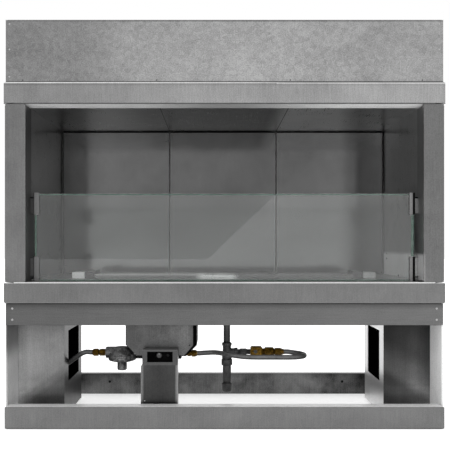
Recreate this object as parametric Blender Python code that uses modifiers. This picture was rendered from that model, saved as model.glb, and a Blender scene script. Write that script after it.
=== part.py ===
"""Front-open linear gas fireplace on an open stand, as separate sheet-metal, glass and pipe pieces.

Units are metres and +Z is up. The origin is the centre of the footprint on the floor, and the
front faces -Y. A depth is measured backwards from the front plane of the trims, and back(depth)
turns it into a Y coordinate.
"""
import math

import bmesh
import bpy
import numpy as np
from mathutils import Matrix, Vector

# Driving dimensions of the whole fireplace
WIDTH = 1.016
DEPTH = 0.432
HEIGHT = 0.944
SHEET = 0.0015        # sheet-metal thickness
GAP = 0.0003          # clearance between pieces that touch
FOLD = 0.002          # outside radius of a fold
NOTCH = 0.003         # relief left at a corner between two flanges

# Half widths of the front, from the centre line outwards
LINER_HALF = 0.4595
OPENING_HALF = 0.4576
CASING_HALF = 0.505
POST_HALF = 0.5056
BAND_HALF = 0.506
TRIM_HALF = WIDTH / 2

# Heights above the floor
BAND_TOP = 0.052
BAY_TOP = 0.238
LEDGE_BOTTOM = 0.2893
LEDGE_TOP = 0.338
FLOOR_TOP = 0.341
HEADER_BOTTOM = 0.748
HEADER_TOP = 0.7985

# Depths behind the front plane
RAIL_DEPTH = 0.008
SIDE_DEPTH = 0.0098
LINER_DEPTH = 0.0535
BACK_DEPTH = 0.406
CASING_BACK = DEPTH - SHEET

# Stand: the two closed columns beside the open bay
STAND_SHEET = 0.003
COLUMN_HALF = 0.389
COLUMN_FRONT = 0.101
COLUMN_BACK = 0.322
COLUMN_BOTTOM = 0.005
COLUMN_TOP = LEDGE_BOTTOM - 2 * GAP
ACCESS_HOLE = ((0.148, 0.084), (0.285, 0.210))   # depth and height of its two corners
REAR_RAIL_DEPTH = 0.395
REAR_RAIL_TOP = 0.058

# Firebox back, in three panels
SEAM_X = 0.152
SEAM_HALF = 0.0022
BACK_HALF = 0.456

# Row of small holes low in each side liner
LINER_HOLE_DEPTH = 0.3695
LINER_HOLE_HEIGHTS = (0.3545, 0.3640, 0.3735)

# Burner pan, let into the firebox floor
PAN_HALF = 0.316
PAN_FRONT, PAN_BACK = 0.110, 0.210
PAN_BOTTOM, PAN_TOP = 0.281, 0.3513
BURNER_RADIUS = 0.0125
BURNER_HALF = 0.300
BURNER_Z = 0.300

# Glass wind guard and its four clips
GLASS_HALF = 0.448
GLASS_THICK = 0.006
GLASS_BOTTOM, GLASS_TOP = LEDGE_TOP + GAP, 0.545
GLASS_DEPTH = 0.048
CLIP_REACH = 0.013
LOWER_CLIP = (LEDGE_TOP + GAP, 0.396)
UPPER_CLIP = (0.495, 0.547)

# Valve housing and control pedestal
CONTROL_X = -0.1532
KNOB_Z = 0.1640
PEDESTAL_HALF = 0.0434
PEDESTAL_TOP = 0.1765
PEDESTAL_STEP = 0.0035
PEDESTAL_FRONT, PEDESTAL_BACK = 0.041, 0.078
PLATE_DEPTH = 0.050
COVER_DEPTH = 0.0835
HOUSING_BACK = 0.200
IGNITER_X, IGNITER_Z = -0.133, 0.1637
IGNITER_TRAVEL = 0.004

# Gas train
VALVE_DEPTH = 0.140
SUPPLY_Z = 0.1565
OUTLET_Z = 0.154
REGULATOR_X = -0.2533
REGULATOR_OUTLET_Z = 0.1445
TRAIN_DEPTH = 0.160
TRAIN_Z = 0.155
RISER_X = 0.0078
HOSE_DIAMETER = 0.012
INLET_DEPTH, INLET_Z = 0.215, 0.104
LOOP_RADIUS = 0.044

ROUND_STEPS = 24
FACING = {
    "front": (math.pi / 2, 0, 0),
    "rear": (math.pi / 2, 0, math.pi),
    "left": (math.pi / 2, 0, -math.pi / 2),
    "right": (math.pi / 2, 0, math.pi / 2),
    "up": (0, 0, 0),
    "down": (math.pi, 0, 0),
}
# name: colour, metallic, roughness
FINISHES = {
    "satin_steel": ((0.24, 0.24, 0.24), 1.0, 0.42),
    "galvanised_steel": ((0.33, 0.33, 0.33), 1.0, 0.5),
    "dark_steel": ((0.09, 0.09, 0.09), 1.0, 0.4),
    "liner_steel": ((0.13, 0.13, 0.13), 1.0, 0.35),
    "glass": ((0.75, 0.87, 0.82), 0.0, 0.05),
    "black_plate": ((0.012, 0.012, 0.012), 0.0, 0.5),
    "bright_steel": ((0.6, 0.6, 0.6), 1.0, 0.25),
    "cast_aluminium": ((0.26, 0.27, 0.28), 1.0, 0.55),
    "brass": ((0.55, 0.38, 0.14), 1.0, 0.3),
    "black_iron": ((0.1, 0.1, 0.1), 0.8, 0.5),
    "grey_coating": ((0.2, 0.21, 0.22), 0.2, 0.45),
    "black_plastic": ((0.02, 0.02, 0.02), 0.0, 0.35),
}


def back(depth):
    """Y coordinate of a depth behind the front plane."""
    return depth - DEPTH / 2


def reset():
    """Empty the scene and return the collections for the parts and for the cutters."""
    for leftover in list(bpy.data.objects):
        bpy.data.objects.remove(leftover, do_unlink=True)
    made = []
    for name in ("gas_fireplace", "cutters"):
        collection = bpy.data.collections.new(name)
        bpy.context.scene.collection.children.link(collection)
        made.append(collection)
    return made


PARTS, CUTTERS = reset()


def finish_material(finish):
    """The Principled material of a finish, made once."""
    if finish in bpy.data.materials:
        return bpy.data.materials[finish]
    colour, metallic, roughness = FINISHES[finish]
    material = bpy.data.materials.new(finish)
    material.use_nodes = True
    shader = material.node_tree.nodes["Principled BSDF"]
    shader.inputs["Base Color"].default_value = (*colour, 1)
    shader.inputs["Metallic"].default_value = metallic
    shader.inputs["Roughness"].default_value = roughness
    return material


def add_object(name, finish, mesh_from, smooth=False):
    """Link a new object whose mesh comes from a bmesh; a finish of None makes a cutter."""
    mesh = bpy.data.meshes.new(name)
    mesh_from.to_mesh(mesh)
    mesh_from.free()
    made = bpy.data.objects.new(name, mesh)
    if finish is None:
        CUTTERS.objects.link(made)
        made.hide_render = True
        made.display_type = "WIRE"
    else:
        PARTS.objects.link(made)
        mesh.materials.append(finish_material(finish))
    if smooth:
        mesh.shade_smooth()
        mesh.set_sharp_from_angle(angle=math.radians(40))
    return made


def box(name, finish, low, high):
    """A solid box between two corners."""
    low, high = Vector(low), Vector(high)
    solid = bmesh.new()
    bmesh.ops.create_cube(solid, size=1)
    bmesh.ops.scale(solid, vec=high - low, verts=solid.verts)
    made = add_object(name, finish, solid)
    made.location = (low + high) / 2
    return made


def thicken(made, thickness):
    """Give an open surface its sheet thickness, on the side away from its outer face."""
    shell = made.modifiers.new("thickness", "SOLIDIFY")
    shell.thickness = thickness
    shell.offset = -1
    shell.use_even_offset = True


def folded_sheet(name, finish, centre, facing, size, flanges=None, thickness=SHEET):
    """A flat sheet with flanges folded back from its edges.

    centre is the middle of the outer face, and flanges maps an edge, seen from outside, to its
    depth and its inset from both corners.
    """
    half_width, half_height = size[0] / 2, size[1] / 2
    corners = [(-half_width, -half_height), (half_width, -half_height),
               (half_width, half_height), (-half_width, half_height)]
    sheet = bmesh.new()
    outline, folds = [], []
    for index, edge in enumerate(("bottom", "right", "top", "left")):
        start = Vector((*corners[index], 0))
        end = Vector((*corners[(index + 1) % 4], 0))
        outline.append(sheet.verts.new(start))
        if flanges and edge in flanges:
            depth, inset = flanges[edge]
            step = (end - start).normalized() * inset
            first, last = sheet.verts.new(start + step), sheet.verts.new(end - step)
            outline += [first, last]
            folds.append((first, last, Vector((0, 0, -depth))))
    sheet.faces.new(outline)
    for first, last, drop in folds:
        sheet.faces.new((last, first, sheet.verts.new(first.co + drop), sheet.verts.new(last.co + drop)))
    made = add_object(name, finish, sheet)
    made.location = centre
    made.rotation_euler = FACING[facing]
    if folds:
        bend = made.modifiers.new("folds", "BEVEL")
        bend.width = FOLD
        bend.segments = 2
        bend.limit_method = "ANGLE"
        bend.angle_limit = math.radians(60)
    thicken(made, thickness)
    return made


def prism(name, finish, outline, front, length, open_sides=(), thickness=None):
    """An outline in X and Z, drawn anticlockwise seen from the front, extended backwards.

    open_sides lists outward directions whose faces are left out, and thickness makes it a shell.
    """
    solid = bmesh.new()
    face = solid.faces.new([solid.verts.new((x, back(front), z)) for x, z in outline])
    grown = bmesh.ops.extrude_face_region(solid, geom=[face])["geom"]
    moved = [item for item in grown if isinstance(item, bmesh.types.BMVert)]
    bmesh.ops.translate(solid, vec=(0, length, 0), verts=moved)
    bmesh.ops.recalc_face_normals(solid, faces=solid.faces)
    dropped = [item for item in solid.faces
               if any(item.normal.dot(Vector(side)) > 0.99 for side in open_sides)]
    bmesh.ops.delete(solid, geom=dropped, context="FACES")
    made = add_object(name, finish, solid)
    if thickness:
        thicken(made, thickness)
    return made


def boolean(target, tool, operation):
    """Cut or join one object with another, which becomes a hidden tool."""
    change = target.modifiers.new(operation.lower(), "BOOLEAN")
    change.operation = operation
    change.object = tool
    return target


def rod(name, finish, start, end, radius, steps=ROUND_STEPS):
    """A round bar between two points."""
    start, end = Vector(start), Vector(end)
    solid = bmesh.new()
    bmesh.ops.create_cone(solid, cap_ends=True, segments=steps, radius1=radius, radius2=radius,
                          depth=(end - start).length)
    made = add_object(name, finish, solid, smooth=True)
    made.location = (start + end) / 2
    made.rotation_euler = (end - start).to_track_quat("Z", "Y").to_euler()
    return made


def turned(name, finish, place, direction, profile, steps=ROUND_STEPS):
    """A turned solid: profile gives radius and height from the top of the axis to its bottom."""
    line = bmesh.new()
    points = [line.verts.new((radius, 0, height)) for radius, height in profile]
    for upper, lower in zip(points, points[1:]):
        line.edges.new((upper, lower))
    made = add_object(name, finish, line)
    turn = made.modifiers.new("turn", "SCREW")
    turn.steps = turn.render_steps = steps
    turn.use_merge_vertices = True
    turn.merge_threshold = 0.00001
    turn.use_smooth_shade = True
    made.location = place
    made.rotation_euler = Vector(direction).to_track_quat("Z", "Y").to_euler()
    return made


def section_radius(shape, size, angle):
    """Distance from the axis to a round or hexagonal section, whose size is its inner radius."""
    if shape == "round":
        return size
    return size / math.cos(angle % (math.pi / 3) - math.pi / 6)


def fitting(name, finish, start, direction, sections, steps=ROUND_STEPS):
    """A pipe fitting lofted through round and hexagonal sections.

    Each section is a distance along direction from start, an inner radius and a shape.
    """
    solid = bmesh.new()
    rings = []
    for distance, size, shape in sections:
        angles = [2 * math.pi * index / steps for index in range(steps)]
        radii = [section_radius(shape, size, angle) for angle in angles]
        rings.append([solid.verts.new((radius * math.cos(angle), radius * math.sin(angle), distance))
                      for radius, angle in zip(radii, angles)])
    solid.faces.new(list(reversed(rings[0])))
    solid.faces.new(rings[-1])
    for lower, upper in zip(rings, rings[1:]):
        for index in range(steps):
            after = (index + 1) % steps
            solid.faces.new((lower[index], lower[after], upper[after], upper[index]))
    bmesh.ops.recalc_face_normals(solid, faces=solid.faces)
    made = add_object(name, finish, solid, smooth=True)
    made.location = start
    made.rotation_euler = Vector(direction).to_track_quat("Z", "Y").to_euler()
    return made


def smooth_route(route, spacing, straight=0.0045):
    """Points along a smooth curve through the route's own points, with a short straight at each end."""
    points = np.array(route, dtype=float)
    padded = np.vstack([2 * points[0] - points[1], points, 2 * points[-1] - points[-2]])
    dense = []
    for index in range(len(points) - 1):
        before, first, last, after = padded[index:index + 4]
        for share in np.linspace(0, 1, 24, endpoint=False):
            dense.append(0.5 * (2 * first + (last - before) * share
                                + (2 * before - 5 * first + 4 * last - after) * share ** 2
                                + (3 * first - before - 3 * last + after) * share ** 3))
    dense = np.array(dense + [points[-1]])
    travelled = np.concatenate([[0], np.cumsum(np.linalg.norm(np.diff(dense, axis=0), axis=1))])
    total = travelled[-1]
    between = np.linspace(straight, total - straight, max(2, round(total / spacing)) + 1)
    wanted = np.concatenate([[0], between, [total]])
    return np.column_stack([np.interp(wanted, travelled, dense[:, axis]) for axis in range(3)])


def hose(name, finish, route, diameter):
    """A round hose along a route of X, depth and height."""
    world = [(x, back(depth), height) for x, depth, height in route]
    points = smooth_route(world, 2 * diameter)
    line = bpy.data.curves.new(name, "CURVE")
    line.dimensions = "3D"
    line.bevel_depth = diameter / 2
    line.bevel_resolution = 2
    line.use_fill_caps = True
    spline = line.splines.new("POLY")
    spline.points.add(len(points) - 1)
    for point, place in zip(spline.points, points):
        point.co = (*place, 1)
    spline.use_smooth = True
    line.materials.append(finish_material(finish))
    made = bpy.data.objects.new(name, line)
    PARTS.objects.link(made)
    return made


def sides():
    """The two sides of a mirrored pair: its name and the sign of its X."""
    return (("left", -1), ("right", 1))


def outward(side):
    """Direction word of a side panel's outer face."""
    return {-1: "left", 1: "right"}[side]


def side_sheet(name, finish, x, side, depths, heights, flanges=None, thickness=SHEET):
    """A sheet in a plane of constant X, whose outer face is at x and looks away from the middle.

    flanges are named front and rear, and fold towards the middle.
    """
    length, height = depths[1] - depths[0], heights[1] - heights[0]
    edge_names = {-1: {"front": "right", "rear": "left"}, 1: {"front": "left", "rear": "right"}}[side]
    named = {edge_names[edge]: fold for edge, fold in (flanges or {}).items()}
    centre = (side * x, back(sum(depths) / 2), sum(heights) / 2)
    return folded_sheet(name, finish, centre, outward(side), (length, height), named, thickness)


def front_sheet(name, finish, xs, depth, heights, flanges=None, facing="front"):
    """A sheet in a plane of constant depth, whose outer face is at that depth."""
    centre = ((xs[0] + xs[1]) / 2, back(depth), sum(heights) / 2)
    size = (xs[1] - xs[0], heights[1] - heights[0])
    return folded_sheet(name, finish, centre, facing, size, flanges)


def build_stand():
    """Rails, side panels and the two closed columns."""
    inner = CASING_HALF - STAND_SHEET - GAP
    rail_inset = BAND_HALF - inner
    return_depth = SIDE_DEPTH - GAP
    front_sheet("base_front_rail", "satin_steel", (-BAND_HALF, BAND_HALF), 0, (0, BAND_TOP),
                {"top": (0.030, rail_inset), "bottom": (0.030, rail_inset),
                 "left": (return_depth, NOTCH), "right": (return_depth, NOTCH)})
    front_sheet("base_rear_rail", "dark_steel", (-inner, inner), REAR_RAIL_DEPTH, (0, REAR_RAIL_TOP),
                {"top": (0.020, NOTCH), "bottom": (0.020, NOTCH)})
    upper_rail = {"top": (0.020, CASING_HALF - inner), "bottom": (0.020, CASING_HALF - inner)}
    rail_heights = (BAY_TOP, LEDGE_BOTTOM - GAP)
    front_sheet("base_upper_front_rail", "satin_steel", (-CASING_HALF, CASING_HALF), RAIL_DEPTH,
                rail_heights, upper_rail)
    front_sheet("base_upper_rear_rail", "dark_steel", (-CASING_HALF, CASING_HALF), CASING_BACK - GAP,
                rail_heights, upper_rail, facing="rear")
    rail_front = CASING_BACK - GAP - SHEET
    for word, side in sides():
        panel = side_sheet(f"base_side_panel_{word}", "satin_steel", CASING_HALF, side,
                           (SIDE_DEPTH, rail_front - GAP), (0, LEDGE_BOTTOM - GAP), thickness=STAND_SHEET)
        if word == "left":
            hole = rod("inlet_hole", None, (-CASING_HALF - 0.01, back(INLET_DEPTH), INLET_Z),
                       (-inner + 0.01, back(INLET_DEPTH), INLET_Z), 0.0085)
            boolean(panel, hole, "DIFFERENCE")
        xs = sorted((side * COLUMN_HALF, side * inner))
        heights = (COLUMN_BOTTOM, COLUMN_TOP)
        front_sheet(f"column_front_panel_{word}", "satin_steel", xs, COLUMN_FRONT, heights)
        front_sheet(f"column_rear_panel_{word}", "dark_steel", xs, COLUMN_BACK + GAP + SHEET, heights,
                    facing="rear")
        wall = side_sheet(f"column_inner_wall_{word}", "satin_steel", COLUMN_HALF + SHEET, side,
                          (COLUMN_FRONT + SHEET + GAP, COLUMN_BACK), heights)
        (hole_front, hole_bottom), (hole_back, hole_top) = ACCESS_HOLE
        reach = sorted((side * (COLUMN_HALF - 0.01), side * (COLUMN_HALF + 0.01)))
        hole = box(f"access_hole_{word}", None, (reach[0], back(hole_front), hole_bottom),
                   (reach[1], back(hole_back), hole_top))
        boolean(wall, hole, "DIFFERENCE")


def build_casing():
    """Trims, posts, hood panel and the outer casing."""
    return_depth = 0.060
    flange_inset = 0.0235
    front_sheet("ledge_trim", "satin_steel", (-TRIM_HALF, TRIM_HALF), 0, (LEDGE_BOTTOM, LEDGE_TOP),
                {"top": (0.060, flange_inset), "bottom": (0.0075, NOTCH),
                 "left": (return_depth, NOTCH), "right": (return_depth, NOTCH)})
    front_sheet("header_trim", "satin_steel", (-TRIM_HALF, TRIM_HALF), 0, (HEADER_BOTTOM, HEADER_TOP),
                {"bottom": (0.053, flange_inset), "top": (0.0075, NOTCH),
                 "left": (return_depth, NOTCH), "right": (return_depth, NOTCH)})
    front_sheet("hood_front_panel", "galvanised_steel", (-CASING_HALF, CASING_HALF), RAIL_DEPTH,
                (HEADER_TOP + GAP, HEIGHT), {"top": (0.020, NOTCH)})
    under_hood = HEIGHT - SHEET - GAP
    casing_top = under_hood - SHEET
    folded_sheet("casing_top", "galvanised_steel",
                 (0, back((SIDE_DEPTH + DEPTH) / 2), under_hood), "up",
                 (2 * CASING_HALF, DEPTH - SIDE_DEPTH))
    front_sheet("casing_back", "galvanised_steel", (-CASING_HALF, CASING_HALF), DEPTH,
                (LEDGE_BOTTOM + GAP, casing_top - GAP), facing="rear")
    post_depth, post_return = 0.001, 0.052
    for word, side in sides():
        side_sheet(f"casing_side_{word}", "galvanised_steel", CASING_HALF, side,
                   (SIDE_DEPTH, CASING_BACK - GAP), (LEDGE_BOTTOM + GAP, casing_top - GAP),
                   {"front": (0.020, NOTCH), "rear": (0.015, NOTCH)})
        xs = sorted((side * OPENING_HALF, side * POST_HALF))
        inner_edge, outer_edge = {-1: ("right", "left"), 1: ("left", "right")}[side]
        front_sheet(f"front_post_{word}", "satin_steel", xs, post_depth,
                    (LEDGE_TOP + GAP, HEADER_BOTTOM - GAP),
                    {inner_edge: (post_return, NOTCH), outer_edge: (SIDE_DEPTH - GAP - post_depth, NOTCH)})


def build_firebox():
    """Liner panels, ceiling and floor."""
    liner_heights = (FLOOR_TOP + GAP, HEADER_BOTTOM - GAP)
    edges = (-BACK_HALF, -SEAM_X - SEAM_HALF, -SEAM_X + SEAM_HALF,
             SEAM_X - SEAM_HALF, SEAM_X + SEAM_HALF, BACK_HALF)
    for word, start in (("left", 0), ("center", 2), ("right", 4)):
        front_sheet(f"back_liner_{word}", "liner_steel", edges[start:start + 2], BACK_DEPTH, liner_heights)
    for word, side in sides():
        liner = side_sheet(f"side_liner_{word}", "liner_steel", LINER_HALF + SHEET, side,
                           (LINER_DEPTH, BACK_DEPTH - 0.002), liner_heights)
        for height in LINER_HOLE_HEIGHTS:
            hole = rod(f"liner_hole_{word}", None,
                       (side * (LINER_HALF - 0.005), back(LINER_HOLE_DEPTH), height),
                       (side * (LINER_HALF + 0.005), back(LINER_HOLE_DEPTH), height), 0.0022, steps=12)
            boolean(liner, hole, "DIFFERENCE")
    length = BACK_DEPTH + 2 * SHEET - LINER_DEPTH
    middle = back(LINER_DEPTH + length / 2)
    folded_sheet("ceiling_panel", "liner_steel", (0, middle, HEADER_BOTTOM), "down",
                 (2 * (LINER_HALF + SHEET), length))
    floor_front = 0.0603
    length = BACK_DEPTH + 2 * SHEET - floor_front
    middle = back(floor_front + length / 2)
    floor = folded_sheet("firebox_floor", "bright_steel", (0, middle, FLOOR_TOP), "up",
                         (2 * (LINER_HALF + SHEET), length))
    opening = box("pan_opening", None, (-PAN_HALF - 0.001, back(PAN_FRONT - 0.001), FLOOR_TOP - 0.01),
                  (PAN_HALF + 0.001, back(PAN_BACK + 0.001), FLOOR_TOP + 0.01))
    boolean(floor, opening, "DIFFERENCE")


def build_burner():
    """Pan, burner tube and the stops at both ends."""
    pan = prism("burner_pan", "bright_steel",
                [(-PAN_HALF, PAN_BOTTOM), (PAN_HALF, PAN_BOTTOM), (PAN_HALF, PAN_TOP), (-PAN_HALF, PAN_TOP)],
                PAN_FRONT, PAN_BACK - PAN_FRONT, open_sides=[(0, 0, 1)], thickness=SHEET)
    hole = rod("riser_hole", None, (RISER_X, back(TRAIN_DEPTH), PAN_BOTTOM - 0.01),
               (RISER_X, back(TRAIN_DEPTH), PAN_BOTTOM + 0.01), 0.0095)
    boolean(pan, hole, "DIFFERENCE")
    tube = rod("burner_tube", "bright_steel", (-BURNER_HALF, back(TRAIN_DEPTH), BURNER_Z),
               (BURNER_HALF, back(TRAIN_DEPTH), BURNER_Z), BURNER_RADIUS)
    boss = rod("burner_boss", None, (RISER_X, back(TRAIN_DEPTH), PAN_BOTTOM + 0.006),
               (RISER_X, back(TRAIN_DEPTH), BURNER_Z), 0.0105)
    boolean(tube, boss, "UNION")
    plate_x, slot_x, block_x = 0.3166, 0.3436, 0.3452
    outer_x = 0.3755
    foot, slot_z = FLOOR_TOP + GAP, FLOOR_TOP + 0.0025
    outline = [(plate_x, foot), (outer_x, foot), (outer_x, 0.356), (block_x, 0.356), (block_x, slot_z),
               (slot_x, slot_z), (slot_x, 0.3575), (plate_x, 0.361)]
    for word, side in sides():
        points = [(side * x, z) for x, z in outline]
        prism(f"burner_end_stop_{word}", "dark_steel", points[::side], 0.130, 0.060)


def build_glass():
    """The glass wind guard and the four clips that its ends stand in."""
    front = GLASS_DEPTH - GLASS_THICK / 2
    box("glass_guard", "glass", (-GLASS_HALF, back(front), GLASS_BOTTOM),
        (GLASS_HALF, back(front + GLASS_THICK), GLASS_TOP))
    clip_half = GLASS_HALF + GAP + SHEET
    fold_depth = GLASS_THICK + 2 * GAP + 2 * SHEET
    clip_front = front - GAP - SHEET
    for word, side in sides():
        for level, heights, lugs in (("upper", UPPER_CLIP, (0.534,)),
                                     ("lower", LOWER_CLIP, (0.3585, 0.3735))):
            outer, inner = side * clip_half, side * (clip_half - CLIP_REACH)
            slot_x = side * (clip_half - SHEET)
            name = f"glass_clip_{level}_{word}"
            clip = box(name, "satin_steel", (min(outer, inner), back(clip_front), heights[0]),
                       (max(outer, inner), back(clip_front + fold_depth), heights[1]))
            past = inner - side * 0.005
            slot = box(f"{name}_slot", None,
                       (min(slot_x, past), back(front - GAP), heights[0] - 0.005),
                       (max(slot_x, past), back(front + GLASS_THICK + GAP), heights[1] + 0.005))
            boolean(clip, slot, "DIFFERENCE")
            for index, height in enumerate(lugs):
                lug_x = (outer - side * SHEET / 2, side * (OPENING_HALF - GAP))
                lug = box(f"{name}_lug_{index}", None,
                          (min(lug_x), back(GLASS_DEPTH - 0.002), height - 0.003),
                          (max(lug_x), back(GLASS_DEPTH + 0.002), height + 0.003))
                boolean(clip, lug, "UNION")


def build_controls():
    """Valve housing, its cover, the gas valve, and the pedestal with its knob and igniter."""
    housing = prism("valve_housing", "dark_steel",
                    [(-0.2105, 0.155), (-0.0925, 0.155), (-0.066, 0.181), (-0.066, PAN_BOTTOM - GAP),
                     (-0.238, PAN_BOTTOM - GAP), (-0.238, 0.183)],
                    COVER_DEPTH + SHEET + GAP, HOUSING_BACK - COVER_DEPTH - SHEET - GAP,
                    open_sides=[(0, 0, -1)], thickness=SHEET)
    cover = prism("valve_housing_cover", "satin_steel",
                  [(-0.2105, 0.157), (-0.096, 0.157), (-0.075, 0.181), (-0.075, PAN_BOTTOM - GAP),
                   (-0.238, PAN_BOTTOM - GAP), (-0.2366, 0.1833)], COVER_DEPTH, SHEET)
    shaft_hole = rod("shaft_hole", None, (CONTROL_X, back(COVER_DEPTH - 0.01), KNOB_Z),
                     (CONTROL_X, back(COVER_DEPTH + 0.01), KNOB_Z), 0.0055)
    boolean(housing, shaft_hole, "DIFFERENCE")
    boolean(cover, shaft_hole, "DIFFERENCE")
    screw_hole = rod("screw_hole", None, (-0.0836, back(COVER_DEPTH - 0.01), 0.1814),
                     (-0.0836, back(COVER_DEPTH + 0.01), 0.1814), 0.0018, steps=12)
    boolean(cover, screw_hole, "DIFFERENCE")
    port_hole = rod("port_hole", None, (-0.120, back(VALVE_DEPTH), OUTLET_Z),
                    (-0.050, back(VALVE_DEPTH), OUTLET_Z), 0.0095)
    boolean(housing, port_hole, "DIFFERENCE")

    valve = box("gas_valve", "cast_aluminium", (-0.200, back(0.118), 0.1435), (-0.105, back(0.162), 0.171))
    stem = rod("valve_stem", None, (CONTROL_X, back(PLATE_DEPTH - GAP), KNOB_Z),
               (CONTROL_X, back(0.125), KNOB_Z), 0.004)
    inlet = rod("valve_inlet", None, (REGULATOR_X + 0.0344, back(VALVE_DEPTH), REGULATOR_OUTLET_Z),
                (-0.190, back(VALVE_DEPTH), REGULATOR_OUTLET_Z), 0.0038)
    outlet = rod("valve_outlet", None, (-0.110, back(VALVE_DEPTH), OUTLET_Z),
                 (-0.0935, back(VALVE_DEPTH), OUTLET_Z), 0.0065)
    for tool in (stem, inlet, outlet):
        boolean(valve, tool, "UNION")

    left, right = CONTROL_X - PEDESTAL_HALF, CONTROL_X + PEDESTAL_HALF
    pedestal = prism("control_pedestal", "satin_steel",
                     [(left, 0), (right, 0), (right, PEDESTAL_TOP), (left + PEDESTAL_STEP, PEDESTAL_TOP),
                      (left + PEDESTAL_STEP, 0.1435), (left, 0.138)],
                     PEDESTAL_FRONT, PEDESTAL_BACK - PEDESTAL_FRONT,
                     open_sides=[(0, 1, 0), (0, 0, -1)], thickness=SHEET)
    window = box("control_window", None, (-0.1818, back(PEDESTAL_FRONT - 0.01), 0.1475),
                 (-0.1216, back(PEDESTAL_FRONT + 0.006), 0.1722))
    boolean(pedestal, window, "DIFFERENCE")
    clearance = SHEET + GAP
    plate = box("control_plate", "black_plate",
                (left + PEDESTAL_STEP + clearance, back(PLATE_DEPTH), 0.1395),
                (right - clearance, back(PLATE_DEPTH + SHEET), PEDESTAL_TOP - clearance))
    for name, x, z, radius in (("knob_hole", CONTROL_X, KNOB_Z, 0.0046),
                               ("button_hole", IGNITER_X, IGNITER_Z, 0.0043)):
        boolean(plate, rod(name, None, (x, back(PLATE_DEPTH - 0.005), z),
                           (x, back(PLATE_DEPTH + 0.006), z), radius),
                "DIFFERENCE")

    knob_back = PLATE_DEPTH - 2 * GAP
    turned("gas_knob", "black_plastic", (CONTROL_X, back(knob_back), KNOB_Z), (0, -1, 0),
           [(0, 0.0102), (0.0055, 0.0102), (0.0058, 0.0096), (0.0067, 0.0096), (0.0073, 0.0088),
            (0.0075, 0), (0, 0)])
    turned("igniter_button", "bright_steel", (IGNITER_X, back(0.058), IGNITER_Z), (0, -1, 0),
           [(0, 0.0145), (0.0030, 0.0145), (0.0038, 0.0138), (0.0038, 0), (0, 0)])
    barrel_front = PLATE_DEPTH + SHEET + GAP
    fitting("igniter_barrel", "black_plastic", (IGNITER_X, back(barrel_front), IGNITER_Z), (0, 1, 0),
            [(0.018, 0.0043, "round"), (0, 0.0043, "round"), (0, 0.0068, "round"), (0.003, 0.0068, "hex"),
             (0.008, 0.0068, "hex"), (0.008, 0.0058, "round"), (0.026, 0.0058, "round")])


def build_supply_side():
    """Gas inlet in the left side panel, supply hose, regulator and the fitting out of the valve."""
    fitting("gas_inlet_union", "brass", (-TRIM_HALF + GAP, back(INLET_DEPTH), INLET_Z), (1, 0, 0),
            [(0.012, 0.0045, "round"), (0, 0.0045, "round"), (0, 0.0078, "round"), (0.0078, 0.0078, "round"),
             (0.0078, 0.0098, "hex"), (0.0185, 0.0098, "hex"), (0.0185, 0.0068, "round"),
             (0.0215, 0.0068, "round")])
    hose("supply_hose", "grey_coating",
         [(-0.3271, VALVE_DEPTH, SUPPLY_Z), (-0.3320, VALVE_DEPTH, SUPPLY_Z), (-0.3420, 0.1405, 0.1573),
          (-0.3520, 0.1430, 0.1540), (-0.3620, 0.1475, 0.1480), (-0.3745, 0.1535, 0.1392),
          (-0.3870, 0.1590, 0.1300),
          (-0.4060, 0.1685, 0.1185), (-0.4310, 0.1850, 0.1085), (-0.4560, 0.2040, 0.1042),
          (-0.4715, 0.2140, 0.1038),
          (-0.4810, INLET_DEPTH, INLET_Z), (-0.4858, INLET_DEPTH, INLET_Z)], HOSE_DIAMETER)
    fitting("supply_flare_fitting", "brass", (-0.3268, back(VALVE_DEPTH), SUPPLY_Z), (1, 0, 0),
            [(0, 0.0068, "round"), (0.0015, 0.0068, "round"), (0.0025, 0.0085, "hex"),
             (0.0150, 0.0085, "hex"),
             (0.0150, 0.0062, "round"), (0.0178, 0.0062, "round"), (0.0178, 0.0082, "hex"),
             (0.0315, 0.0082, "hex"), (0.0315, 0.0060, "round"), (0.0333, 0.0060, "round")])
    body = turned("regulator_body", "cast_aluminium", (REGULATOR_X, back(VALVE_DEPTH), 0), (0, 0, 1),
                  [(0, 0.1703), (0.0160, 0.1703), (0.0182, 0.1690), (0.0215, 0.1640), (0.0290, 0.1560),
                   (0.0330, 0.1500), (0.0338, 0.1460), (0.0338, 0.1400), (0.0315, 0.1372), (0.0230, 0.1346),
                   (0.0150, 0.1334), (0, 0.1334)])
    inlet = fitting("regulator_inlet", None, (-0.2932, back(VALVE_DEPTH), SUPPLY_Z), (1, 0, 0),
                    [(0, 0.0118, "hex"), (0.003, 0.0132, "hex"), (0.030, 0.0132, "hex")])
    outlet = fitting("regulator_outlet", None, (-0.2192, back(VALVE_DEPTH), REGULATOR_OUTLET_Z), (-1, 0, 0),
                     [(0, 0.0050, "hex"), (0.002, 0.0062, "hex"), (0.020, 0.0062, "hex")])
    boolean(body, inlet, "UNION")
    boolean(body, outlet, "UNION")
    turned("regulator_cap", "cast_aluminium", (REGULATOR_X, back(VALVE_DEPTH), 0.1125), (0, 0, 1),
           [(0, 0.0206), (0.0108, 0.0206), (0.0119, 0.0196), (0.0119, 0.0030), (0.0102, 0.0006),
            (0.0080, 0), (0, 0)])
    fitting("valve_outlet_fitting", "brass", (-0.0932, back(VALVE_DEPTH), OUTLET_Z), (1, 0, 0),
            [(0, 0.0062, "round"), (0.004, 0.0062, "round"), (0.004, 0.0072, "hex"), (0.0115, 0.0072, "hex"),
             (0.0115, 0.0060, "round"), (0.013, 0.0060, "round"), (0.013, 0.0080, "hex"),
             (0.0235, 0.0080, "hex"),
             (0.0250, 0.0068, "round"), (0.0268, 0.0068, "round")])


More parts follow.
